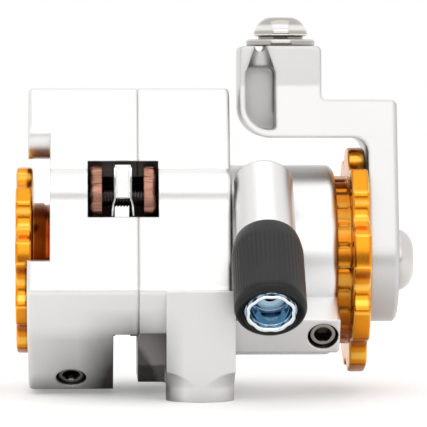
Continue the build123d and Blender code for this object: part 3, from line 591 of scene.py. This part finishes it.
def finish_material(name, color, roughness, metallic=1.0, pits=0.02, pit_scale=5200.0, rings=0.0,
                    tone=0.06, edge=1.0, wear_color=None, dust_and_shade=0.0, specular=0.5, recess_shade=0.8,
                    recess_shade_color=RECESS_SHADE_COLOR, slot_shade=False, stamped=0.0, reach=0.006,
                    painted_highlight=None, painted_shade=None, down=-0.82, shade_down_gloss=False, hub=None):
    """One finish: a base colour with slow variation, fine relief, soft edges and some wear, with
    painted shade and painted highlights where asked.
    """
    settings = bpy.context.scene.caliper_finish
    material = bpy.data.materials.new(name)
    material.use_nodes = True
    material.diffuse_color = (*color, 1.0)
    tree = material.node_tree
    shader = tree.nodes["Principled BSDF"]
    shader.inputs["Metallic"].default_value = metallic
    shader.inputs["Specular IOR Level"].default_value = specular
    blast = placed_group(tree, "Blasted surface", {"Pit scale": pit_scale})
    polish = placed_group(tree, "Edge polish", {"Radius": settings.edge_radius * edge})
    last = layered(tree, blast["Clouds"], scaled(color, 1.0 - tone), scaled(color, 1.0 + tone))
    last = layered(tree, polish["Rubbed"], last, wear_color or scaled(color, 1.15, 0.02))
    # A veil of settled dust on what faces up
    if dust_and_shade:
        veil = placed_group(tree, "Settled dust", {"Amount": dust_and_shade})["Veil"]
        last = layered(tree, veil, last, DUST_COLOR)
    # Painted shade low beside the rotor's slot, on its wall and in the window
    if slot_shade:
        last = layered(tree, placed_group(tree, "Slot shade")["Darkness"], last, SLOT_SHADE_COLOR)
    # Painted highlights on faces that lean up or a little down, painted shade on faces that lean
    # far down
    if painted_highlight:
        facing = placed_group(tree, "Leaning faces", {"Down": down})
        for mask, over, share in (("Painted highlight", painted_highlight, 0.75), ("Painted shade", painted_shade, 0.8)):
            last = layered(tree, math_node(tree, "MULTIPLY", facing[mask], share), last, over)
        # Faces that lean far down also lose most of their gloss, which is more painted shade
        if shade_down_gloss:
            shaded_gloss = math_node(tree, "MULTIPLY_ADD", facing["Painted shade"], -0.75 * specular, specular)
            tree.links.new(shaded_gloss, shader.inputs["Specular IOR Level"])
    if hub:
        last = layered(tree, placed_group(tree, "Hub shade")["Shade"], last, hub)
    # Painted shade in nooks, where little light gets in
    if recess_shade:
        nooks = placed_group(tree, "Recess shade", {"Reach": reach})["Nooks"]
        last = layered(tree, math_node(tree, "MULTIPLY", nooks, recess_shade), last, recess_shade_color)
    spread = math_node(tree, "MULTIPLY_ADD", blast["Clouds"], roughness * 0.3, roughness * 0.85)
    tree.links.new(spread, shader.inputs["Roughness"])
    normal = relief(tree, blast["Pits"], polish["Normal"], pits)
    if rings:
        normal = relief(tree, placed_group(tree, "Turning marks")["Rings"], normal, rings)
    if stamped:
        lumps = placed_group(tree, "Stamped edge")["Lumps"]
        last = layered(tree, 1.0, last, mapped(tree, lumps, 0.45, 0.72, 0.38, 1.1), "MULTIPLY")
        normal = relief(tree, lumps, normal, stamped)
    tree.links.new(last, shader.inputs["Base Color"])
    tree.links.new(normal, shader.inputs["Normal"])


def dress(material, *nodes):
    """Gives frame nodes a finish."""
    for node in nodes:
        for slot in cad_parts[node].material_slots:
            slot.material = bpy.data.materials[material]


class CALIPER_OT_finishes(bpy.types.Operator):
    """Builds the shared surface effects and the finishes"""

    bl_idname = "caliper.finishes"
    bl_label = "Finishes"

    def execute(self, context):
        build_blast_group()
        build_edge_group()
        build_turning_group()
        build_stamped_group()
        build_dust_group()
        build_recess_group()
        build_slot_shade_group()
        build_facing_group()
        build_hub_group()
        self.make_metals(context.scene.caliper_finish)
        self.make_rubbers(context.scene.caliper_pieces)
        return {"FINISHED"}

    def make_metals(self, settings):
        silver = tuple(settings.silver_color)
        finish_material("Blasted silver", silver, settings.silver_roughness, pits=0.006,
                        tone=0.02, edge=2.2, recess_shade=0.6, reach=0.0045, slot_shade=True)
        finish_material("Brushed silver", scaled(silver, 0.76), settings.silver_roughness * 1.1,
                        pits=0.007, tone=0.03, edge=3.6, recess_shade=0.5, reach=0.003)
        finish_material("Turned aluminium", (0.72, 0.72, 0.71), 0.24, pits=0.003, rings=0.004)
        finish_material("Orange anodised", tuple(settings.orange_color), 0.19, pits=0.002,
                        rings=0.003, tone=0.08, wear_color=(0.98, 0.55, 0.12), edge=1.2,
                        recess_shade=0.7, reach=0.003, recess_shade_color=(0.17, 0.038, 0.008),
                        painted_highlight=(1.0, 0.60, 0.10), painted_shade=(0.34, 0.085, 0.008),
                        hub=(0.30, 0.055, 0.004))
        finish_material("Copper plate", tuple(settings.copper_color), 0.34, pits=0.006,
                        tone=0.16, edge=2.4, stamped=2.4, recess_shade=0.25,
                        recess_shade_color=(0.08, 0.03, 0.02))
        finish_material("Bright steel", (0.70, 0.69, 0.67), 0.2, pits=0.002)
        finish_material("Screw steel", (0.15, 0.145, 0.14), 0.26, pits=0.003, edge=0.4)
        finish_material("Bright chrome", (0.88, 0.92, 0.95), 0.1, pits=0.001, edge=0.5, recess_shade=0.2)
        finish_material("Spring steel", (0.86, 0.86, 0.86), 0.16, pits=0.001, tone=0.02,
                        edge=0.3, recess_shade=0.0)
        finish_material("Nickel plate", (0.47, 0.44, 0.41), 0.1, pits=0.001, edge=0.5, recess_shade=0.9,
                        painted_highlight=(0.97, 0.96, 0.94), painted_shade=(0.2, 0.17, 0.15))
        finish_material("Dull nickel", (0.66, 0.64, 0.62), 0.3, pits=0.003, edge=0.8)
        finish_material("Blue zinc", (0.42, 0.58, 0.70), 0.07, pits=0.002, tone=0.12, edge=0.6,
                        recess_shade=0.3, recess_shade_color=(0.015, 0.05, 0.1))
        finish_material("Black oxide steel", (0.035, 0.033, 0.03), 0.35, metallic=0.9,
                        pits=0.003, edge=0.5)
        finish_material("Worn oxide steel", (0.34, 0.31, 0.28), 0.26, pits=0.004, edge=0.6,
                        tone=0.2, recess_shade=1.0, recess_shade_color=(0.012, 0.01, 0.009))
        finish_material("Bronze", (0.45, 0.28, 0.11), 0.38, pits=0.008)

    def make_rubbers(self, pieces):
        finish_material("Friction block", (0.022, 0.018, 0.016), 0.8, metallic=0.15, pits=0.08,
                        pit_scale=1500.0, tone=0.5, wear_color=(0.05, 0.045, 0.04))
        finish_material("Grip rubber", (0.013, 0.0135, 0.0145), pieces.grip_roughness,
                        metallic=0.0, pits=0.012, pit_scale=3600.0, tone=0.7,
                        wear_color=(0.02, 0.02, 0.02), dust_and_shade=0.03, specular=0.3, recess_shade=0.4,
                        painted_highlight=(0.006, 0.006, 0.0065), painted_shade=(0.001, 0.001, 0.001), down=-0.68,
                        shade_down_gloss=True)
        finish_material("Seal rubber", (0.015, 0.015, 0.015), 0.45, metallic=0.0, pits=0.006)
        finish_material("Black polymer", (0.02, 0.02, 0.02), 0.4, metallic=0.0, pits=0.006)


class CALIPER_OT_halves(bpy.types.Operator):
    """Dresses the two halves, the lever and the pistons"""

    bl_idname = "caliper.halves"
    bl_label = "Halves and lever"

    def execute(self, context):
        dress("Blasted silver", "inboard_body", "outboard_body")
        dress("Brushed silver", "lever_arm")
        dress("Turned aluminium", "inboard_piston", "outboard_piston")
        return {"FINISHED"}


class CALIPER_OT_knobs(bpy.types.Operator):
    """Makes the two lobed knobs"""

    bl_idname = "caliper.knobs"
    bl_label = "Knobs"

    def execute(self, context):
        pieces = context.scene.caliper_pieces
        rim = ("star", pieces.knob_valley / MM, pieces.knob_lobes)
        band = ("flute", 0.3, 24)
        rows = [(6.15, 0.25), (6.3, 0.0), (13.3, 0.0), (13.75, 0.35), (13.85, 0.9, *band),
                (13.85, 6.6, *band), (13.85, 7.0), (13.95, 7.2)]
        rows += rim_rows(LARGE_KNOB_RADIUS, 7.2, 10.1, rim)
        rows += [(15.0, 10.1), (14.7, 9.85), (14.5, 9.4), (8.3, 9.4), (8.1, 9.85), (7.8, 10.1),
                 (6.3, 10.1), (6.15, 9.85)]
        mesh = turned("large_knob_disc", rows, actuator_placement(LARGE_KNOB_START), KNOB_STEPS,
                      loop=True, phase=pieces.large_knob_phase)
        knob = finished("large_knob_disc", mesh, "Orange anodised", "large_knob", 55.0)
        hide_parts("outboard_knob")
        rows = [(0.0, 3.3), (2.4, 3.3, "hex"), (2.5, 3.2, "hex"), (2.5, 1.05, "hex"), (2.65, 0.9),
                (3.3, 0.9), (10.6, 0.9), (10.95, 0.8), (11.1, 0.4), (11.3, 0.06), (11.6, 0.0)]
        rows += rim_rows(SMALL_KNOB_RADIUS, 0.0, 2.7, rim)
        rows += [(9.7, 2.7), (9.5, 2.9), (9.5, 4.4), (9.2, 4.7), (9.2, 5.3), (9.5, 5.6),
                 (9.5, 10.5), (9.2, 10.8), (4.2, 10.8), (4.05, 10.6), (4.05, 5.7), (0.0, 5.7)]
        mesh = turned("small_knob_disc", rows, actuator_placement(SMALL_KNOB_START), KNOB_STEPS,
                      phase=pieces.small_knob_phase)
        knob = finished("small_knob_disc", mesh, "Orange anodised", "small_knob", 55.0)
        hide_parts("inboard_knob")
        return {"FINISHED"}


class CALIPER_OT_pads(bpy.types.Operator):
    """Dresses the pads and makes their screw and spring"""

    bl_idname = "caliper.pads"
    bl_label = "Pads"

    def execute(self, context):
        dress("Copper plate", "inboard_pad_plate", "outboard_pad_plate")
        dress("Friction block", "inboard_pad_lining", "outboard_pad_lining")
        self.make_screw(context.scene.caliper_pieces.thread_pitch / MM)
        self.make_spring()
        return {"FINISHED"}

    def make_screw(self, pitch):
        low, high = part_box("pad_pin")
        centre = middle("pad_pin")
        length = (high[0] - low[0]) / MM
        placement = along(Vector((low[0], centre.y, centre.z)), (1.0, 0.0, 0.0))
        head = turned("pad_screw_head", [
            (0.0, 1.3), (1.0, 1.15, "hex"), (1.0, 0.12, "hex"), (1.45, 0.0), (2.25, 0.0),
            (2.5, 0.12), (2.6, 0.4), (2.6, 2.0), (2.5, 2.1), (0.0, 2.1)], placement, steps=48)
        shank = threaded("pad_screw_thread", 1.45, 0.26, pitch, 2.05, length, placement)
        screw = finished("pad_screw", [head, shank], "Screw steel", "frame_body")
        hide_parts("pad_pin")

    def make_spring(self):
        """A sheet with a waisted face, which leans back to its top, and two legs that spread."""
        low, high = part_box("pad_spring")
        centre_x = (low[0] + high[0]) / 2
        front, back, top = low[1], high[1], high[2]
        half_width, gauge, face_height, lean_at_top = 0.00145, 0.00035, 0.0054, 0.0013
        shape = bmesh.new()
        rows = []
        for drop, share in ((0.0, 1.0), (0.0006, 1.0), (0.0014, 0.86), (0.0040, 0.86),
                            (0.0048, 1.0), (face_height, 1.0)):
            lean = lean_at_top * (1.0 - drop / face_height)
            row = []
            for side in (-1.0, -0.5, 0.0, 0.5, 1.0):
                bulge = gauge * 0.8 * (1.0 - side * side)
                row.append(shape.verts.new((
                    centre_x + side * (half_width * share - gauge / 2),
                    front + gauge / 2 + gauge - bulge + lean, top - drop)))
            rows.append(row)
        strips(shape, rows)
        leg = half_width - gauge / 2
        path = [(leg, 0.0004), (leg, 0.0030), (leg, face_height), (half_width + 0.00015, 0.0064),
                (half_width + 0.00045 - gauge / 2, 0.0083)]
        for side in (-1.0, 1.0):
            strips(shape, [[shape.verts.new((centre_x + side * reach, place, top - drop))
                            for place in (front + 0.0006, (front + back) / 2, back - 0.0001)]
                           for reach, drop in path])
        bmesh.ops.recalc_face_normals(shape, faces=shape.faces)
        spring = finished("pad_spring_leaf", as_mesh("pad_spring_leaf", shape), "Spring steel",
                          "frame_body", 50.0)
        thickness = spring.modifiers.new("Sheet", "SOLIDIFY")
        thickness.thickness = gauge
        thickness.offset = 0.0
        soften = spring.modifiers.new("Soft edges", "BEVEL")
        soften.width = gauge / 5
        soften.segments = 2
        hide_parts("pad_spring")


class CALIPER_OT_barrel(bpy.types.Operator):
    """Makes the barrel adjuster's steel core and rubber sleeve"""

    bl_idname = "caliper.barrel"
    bl_label = "Barrel adjuster"

    def execute(self, context):
        pieces = context.scene.caliper_pieces
        placement = along(spot(*BARREL_START), BARREL_DIRECTION)
        fluted = ("flute", pieces.flute_depth / MM, pieces.grip_flutes)
        sleeve = turned("barrel_sleeve_grip", [
            (4.36, 16.02), (4.6, 15.75), (4.84, 15.5), (4.84, 15.0), (4.98, 14.86), (5.12, 14.95),
            (5.3, 15.5), (5.5, 16.4), (5.64, 17.3), (5.7, 18.0), (5.7, 18.5, *fluted),
            (5.7, 23.5, *fluted), (5.7, 28.8, *fluted), (5.7, 29.1), (5.7, 29.9), (5.58, 30.25),
            (5.25, 30.6), (4.9, 30.86), (4.5, 30.95), (4.15, 30.8), (4.1, 30.6), (4.36, 30.56)],
            placement, GRIP_STEPS, loop=True)
        grip = finished("barrel_grip_sleeve", sleeve, "Grip rubber", "barrel_sleeve")
        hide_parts("barrel_grip")
        body = turned("barrel_core_body", [
            (1.12, 6.4), (2.6, 6.4), (2.6, 16.1), (4.33, 16.1), (4.33, 30.5), (3.3, 30.55),
            (3.15, 30.4), (3.1, 30.2), (3.1, 27.4), (3.0, 27.25), (2.8, 27.2), (1.35, 27.2),
            (1.2, 27.1), (1.12, 26.8)], placement, steps=96, loop=True)
        lobed = ("lobe", 0.0, 8)
        lip = turned("barrel_core_lip", [
            (3.7, 30.4), (3.74, 30.9, *lobed), (3.92, 31.0, *lobed), (3.98, 31.12, *lobed),
            (3.9, 31.26, *lobed), (3.7, 31.32, *lobed), (3.5, 31.29, *lobed),
            (3.38, 31.17, *lobed), (3.28, 30.9, *lobed), (3.2, 30.4)],
            placement, steps=96, loop=True)
        ring = finished("barrel_core_lip", lip, "Bright chrome", "barrel_sleeve")
        thread = threaded("barrel_core_thread", 2.94, 0.3, pieces.coarse_pitch / MM, 6.45, 16.0,
                          placement)
        core = finished("barrel_core_steel", [body, thread], "Blue zinc", "barrel_sleeve")
        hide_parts("barrel_core")
        dress("Black polymer", "barrel_washer")
        return {"FINISHED"}


class CALIPER_OT_fasteners(bpy.types.Operator):
    """Makes the bolts, the washer and the set screws"""

    bl_idname = "caliper.fasteners"
    bl_label = "Fasteners"

    def execute(self, context):
        pitch = context.scene.caliper_pieces.coarse_pitch / MM
        self.make_clamp(pitch)
        self.make_pivot(pitch)
        self.make_body_bolts(pitch)
        self.make_set_screw("inboard_set_screw", INBOARD_SCREW_TILT, pitch)
        self.make_set_screw("outboard_set_screw", OUTBOARD_SCREW_TILT, pitch)
        return {"FINISHED"}

    def make_clamp(self, pitch):
        washer_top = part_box("cable_washer")[1][2]
        centre = middle("cable_washer")
        placement = along(Vector((centre.x, centre.y, washer_top)), (0.0, 0.0, 1.0))
        head = turned("cable_bolt_head", [
            (0.0, 1.7), (1.5, 1.95, "hex"), (1.5, 3.4, "hex"), (1.85, 3.62), (2.15, 3.6),
            (2.6, 3.44), (3.1, 3.14), (3.55, 2.72), (3.95, 2.22), (4.25, 1.68), (4.42, 1.2),
            (4.48, 0.85), (4.4, 0.62), (4.15, 0.52), (3.8, 0.5), (3.72, 0.4), (3.72, 0.0),
            (2.3, 0.0), (0.0, 0.0)], placement)
        shank = threaded("cable_bolt_thread", 2.45, 0.38, pitch, -11.0, 0.05, placement)
        bolt = finished("cable_clamp_bolt", [head, shank], "Nickel plate", "lever", 30.0)
        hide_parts("cable_bolt")
        ring = turned("cable_washer_ring", [
            (2.56, 0.02), (2.56, -1.13), (5.5, -1.14), (5.7, -0.98), (5.71, -0.8), (5.71, -0.3),
            (5.62, -0.12), (5.4, -0.01), (3.0, -0.01)], placement, loop=True)
        washer = finished("cable_clamp_washer", ring, "Nickel plate", "lever", 30.0)
        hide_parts("cable_washer")

    def make_pivot(self, pitch):
        seat_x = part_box("lever_arm")[1][0]
        placement = along(Vector((seat_x, 0.0, AXIS_HEIGHT * MM)), (1.0, 0.0, 0.0))
        head = turned("pivot_bolt_head", [
            (0.0, 1.2), (2.0, 1.45, "hex"), (2.0, 2.75, "hex"), (2.35, 2.95), (2.7, 2.93),
            (3.3, 2.75), (3.9, 2.4), (4.4, 1.95), (4.8, 1.4), (5.0, 0.95), (5.08, 0.6),
            (5.08, 0.15), (4.95, 0.02), (2.8, 0.0), (0.0, 0.0)], placement)
        shank = threaded("pivot_bolt_thread", 2.94, 0.38, pitch, -8.4, 0.05, placement)
        bolt = finished("pivot_bolt_steel", [head, shank], "Dull nickel", "lever", 30.0)
        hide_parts("pivot_bolt")

    def make_body_bolts(self, pitch):
        knurled = ("flute", 0.12, 24)
        meshes = []
        for y, z in BODY_BOLT_PLACES:
            placement = along(spot(BODY_BOLT_FACE, y, z), (-1.0, 0.0, 0.0))
            meshes.append(turned("body_bolt_head", [
                (0.0, 1.5), (1.5, 1.8, "hex"), (1.5, 3.85, "hex"), (1.85, 3.98), (3.0, 3.98),
                (3.35, 3.8), (3.5, 3.45), (3.5, 3.1, *knurled), (3.5, 0.8, *knurled), (3.5, 0.5),
                (3.35, 0.0), (0.0, 0.0)], placement, steps=96))
            meshes.append(threaded("body_bolt_thread", 1.97, 0.3, pitch, -18.0, 0.05, placement))
        bolts = finished("body_clamp_bolts", meshes, "Black oxide steel", "frame_body")
        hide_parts("body_bolts")

    def make_set_screw(self, node, tilt, pitch):
        direction = leaning(tilt)
        placement = along(middle(node) + direction * 2.0 * MM, direction)
        face = turned(node + "_face", [
            (0.0, -2.3), (1.2, -2.2, "hex"), (1.28, -0.3, "hex"), (1.45, -0.04), (1.75, 0.0),
            (1.98, -0.05), (2.1, -0.2), (2.12, -0.45)], placement, steps=48)
        thread = threaded(node + "_thread", 2.4, 0.32, pitch * 0.85, -4.0, -0.3, placement,
                          steps=48, tip=0.5, open_end=True)
        screw = finished(node + "_steel", [face, thread], "Worn oxide steel", "frame_body")
        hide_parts(node)


class CALIPER_OT_actuator(bpy.types.Operator):
    """Dresses the ball ramp parts and winds the hidden springs"""

    bl_idname = "caliper.actuator"
    bl_label = "Actuator"

    def execute(self, context):
        dress("Bright steel", "sliding_ramp", "turning_ramp", "ramp_balls", "thrust_balls",
              "thrust_race", "spindle", "inboard_plunger", "outboard_plunger")
        dress("Bronze", "ball_spacer", "spindle_bush")
        dress("Seal rubber", "piston_seal")
        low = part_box("return_spring")[0]
        placement = along(Vector((low[0] + 0.0005, 0.0, AXIS_HEIGHT * MM)), (1.0, 0.0, 0.0))
        spring = coil("return_spring_coil", 11.9, 0.44, 1.25, 2.5, placement, "Bright steel",
                      "lever")
        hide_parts("return_spring")
        self.wind_detent("inboard_detent_spring", INBOARD_SCREW_TILT)
        self.wind_detent("outboard_detent_spring", OUTBOARD_SCREW_TILT)
        return {"FINISHED"}

    def wind_detent(self, node, tilt):
        """A detent's spring, as long as its leaning sleeve is in the frame."""
        direction = leaning(tilt)
        low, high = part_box(node)
        reach = (Vector(high) - Vector(low)).y - 0.003 * abs(direction.z)
        length = max(0.0006, reach / abs(direction.y))
        placement = along(middle(node) - direction * (length / 2 - 0.00015), direction)
        turns = 2.0 if length < 0.002 else 5.0
        spring = coil(node + "_coil", 1.25, 0.2, (length / MM - 0.4) / turns, turns, placement,
                      "Bright steel", "frame_body")
        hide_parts(node)


def plane(name, corners, material):
    """A piece of the stage over four corners."""
    mesh = bpy.data.meshes.new(name)
    mesh.from_pydata(corners, [], [(0, 1, 2, 3)])
    sheet = bpy.data.objects.new(name, mesh)
    bpy.context.collection.objects.link(sheet)
    mesh.materials.append(material)
    return sheet


def aim(thing, place, target):
    """Puts a lamp or a camera at a place, turns it to a target and links it."""
    thing.location = place
    thing.rotation_euler = (target - thing.location).to_track_quat("-Z", "Y").to_euler()
    bpy.context.collection.objects.link(thing)


def softbox(name, place, width, height, power):
    """A lamp with a wide face that looks at the caliper."""
    lamp = bpy.data.lights.new(name, "AREA")
    lamp.shape = "RECTANGLE"
    lamp.size = width
    lamp.size_y = height
    lamp.energy = power
    aim(bpy.data.objects.new(name, lamp), place, STAGE_CENTRE)


def seen_rays(tree):
    """Rays from the camera, and rays by which a piece mirrors or lets through what they meet."""
    rays = tree.nodes.new("ShaderNodeLightPath").outputs
    mirrored = math_node(tree, "MAXIMUM", rays["Is Glossy Ray"], rays["Is Transmission Ray"])
    return rays["Is Camera Ray"], mirrored


class CALIPER_OT_stage(bpy.types.Operator):
    """Sets the floor, the lamps, the room's light and the camera"""

    bl_idname = "caliper.stage"
    bl_label = "Stage"

    def execute(self, context):
        settings = context.scene.caliper_stage
        context.scene.view_settings.view_transform = "Standard"
        self.make_floor(settings)
        self.make_room(settings)
        softbox("Front softbox", (0.0, -0.62, 0.36), 0.8, 0.5, settings.front_power)
        softbox("Top softbox", (0.0, -0.05, 0.6), 0.5, 0.5, settings.top_power)
        self.make_card()
        self.make_camera(context, settings)
        return {"FINISHED"}

    def make_floor(self, settings):
        """A pale floor that glows for the camera, and less in reflections near the caliper."""
        material = bpy.data.materials.new("Pale floor")
        material.use_nodes = True
        tree = material.node_tree
        shader = tree.nodes["Principled BSDF"]
        shader.inputs["Base Color"].default_value = (0.92, 0.915, 0.91, 1.0)
        shader.inputs["Roughness"].default_value = 0.7
        shader.inputs["Specular IOR Level"].default_value = 0.2
        shader.inputs["Emission Color"].default_value = (1.0, 1.0, 1.0, 1.0)
        away = vector_node(tree, "LENGTH", object_place(tree))["Value"]
        camera, mirrored = seen_rays(tree)
        mirrored = math_node(tree, "MULTIPLY", mirrored, mapped(tree, away, 0.03, 0.085, 0.35))
        seen = math_node(tree, "MAXIMUM", camera, mirrored)
        tree.links.new(math_node(tree, "MULTIPLY", seen, settings.floor_lift),
                       shader.inputs["Emission Strength"])
        plane("Studio floor", [(x * FLOOR_REACH, y * FLOOR_REACH, 0.0)
                               for x, y in ((-1, -1), (1, -1), (1, 1), (-1, 1))], material)

    def make_room(self, settings):
        """A white room: full where it is seen, and as bright as the ambient light elsewhere."""
        world = bpy.data.worlds.new("White room")
        bpy.context.scene.world = world
        world.use_nodes = True
        tree = world.node_tree
        background = tree.nodes["Background"]
        background.inputs["Color"].default_value = (1.0, 1.0, 1.0, 1.0)
        seen = math_node(tree, "MAXIMUM", *seen_rays(tree))
        lift = math_node(tree, "MULTIPLY_ADD", seen, 1.0 - settings.ambient, settings.ambient)
        tree.links.new(lift, background.inputs["Strength"])

    def make_card(self):
        """A grey strip at the camera's height, which bright metal shows as a soft dark band."""
        material = bpy.data.materials.new("Grey card")
        material.use_nodes = True
        tree = material.node_tree
        tree.nodes.remove(tree.nodes["Principled BSDF"])
        glow = tree.nodes.new("ShaderNodeEmission")
        glow.inputs["Color"].default_value = (0.30, 0.295, 0.29, 1.0)
        tree.links.new(glow.outputs[0], tree.nodes["Material Output"].inputs["Surface"])
        card = plane("Camera card", [
            (x * CARD_REACH, CARD_FRONT, z) for x, z in (
                (-1, CARD_BOTTOM), (1, CARD_BOTTOM), (1, CARD_TOP), (-1, CARD_TOP))], material)
        card.visible_camera = False
        card.visible_diffuse = False
        card.visible_shadow = False
        card.visible_transmission = False

    def make_camera(self, context, settings):
        camera = bpy.data.cameras.new("Studio camera")
        camera.lens = settings.lens
        camera.sensor_width = 36.0
        camera.clip_start = 0.01
        holder = bpy.data.objects.new("Studio camera", camera)
        aim(holder, CAMERA_PLACE, CAMERA_AIM)
        context.scene.camera = holder


class CALIPER_PT_sidebar(bpy.types.Panel):
    """Lists the caliper's settings and steps"""

    bl_idname = "CALIPER_PT_sidebar"
    bl_label = "Disc brake caliper"
    bl_space_type = "VIEW_3D"
    bl_region_type = "UI"
    bl_category = "Caliper"

    def draw(self, context):
        layout = self.layout
        scene = context.scene
        for settings in (scene.caliper_finish, scene.caliper_pieces, scene.caliper_stage):
            box = layout.box()
            for name in settings.bl_rna.properties.keys():
                if name not in ("rna_type", "name"):
                    box.prop(settings, name)
        for operator in OPERATORS:
            layout.operator(operator.bl_idname)


OPERATORS = (
    CALIPER_OT_finishes,
    CALIPER_OT_halves,
    CALIPER_OT_knobs,
    CALIPER_OT_pads,
    CALIPER_OT_barrel,
    CALIPER_OT_fasteners,
    CALIPER_OT_actuator,
    CALIPER_OT_stage,
)
SETTINGS = (CaliperFinishSettings, CaliperPieceSettings, CaliperStageSettings)


def register():
    for kind in SETTINGS + OPERATORS + (CALIPER_PT_sidebar,):
        bpy.utils.register_class(kind)
    bpy.types.Scene.caliper_finish = PointerProperty(type=CaliperFinishSettings)
    bpy.types.Scene.caliper_pieces = PointerProperty(type=CaliperPieceSettings)
    bpy.types.Scene.caliper_stage = PointerProperty(type=CaliperStageSettings)


def unregister():
    del bpy.types.Scene.caliper_stage
    del bpy.types.Scene.caliper_pieces
    del bpy.types.Scene.caliper_finish
    for kind in reversed(SETTINGS + OPERATORS + (CALIPER_PT_sidebar,)):
        bpy.utils.unregister_class(kind)


def main():
    register()
    bpy.ops.caliper.finishes()
    bpy.ops.caliper.halves()
    bpy.ops.caliper.knobs()
    bpy.ops.caliper.pads()
    bpy.ops.caliper.barrel()
    bpy.ops.caliper.fasteners()
    bpy.ops.caliper.actuator()
    bpy.ops.caliper.stage()


if __name__ == "__main__":
    main()
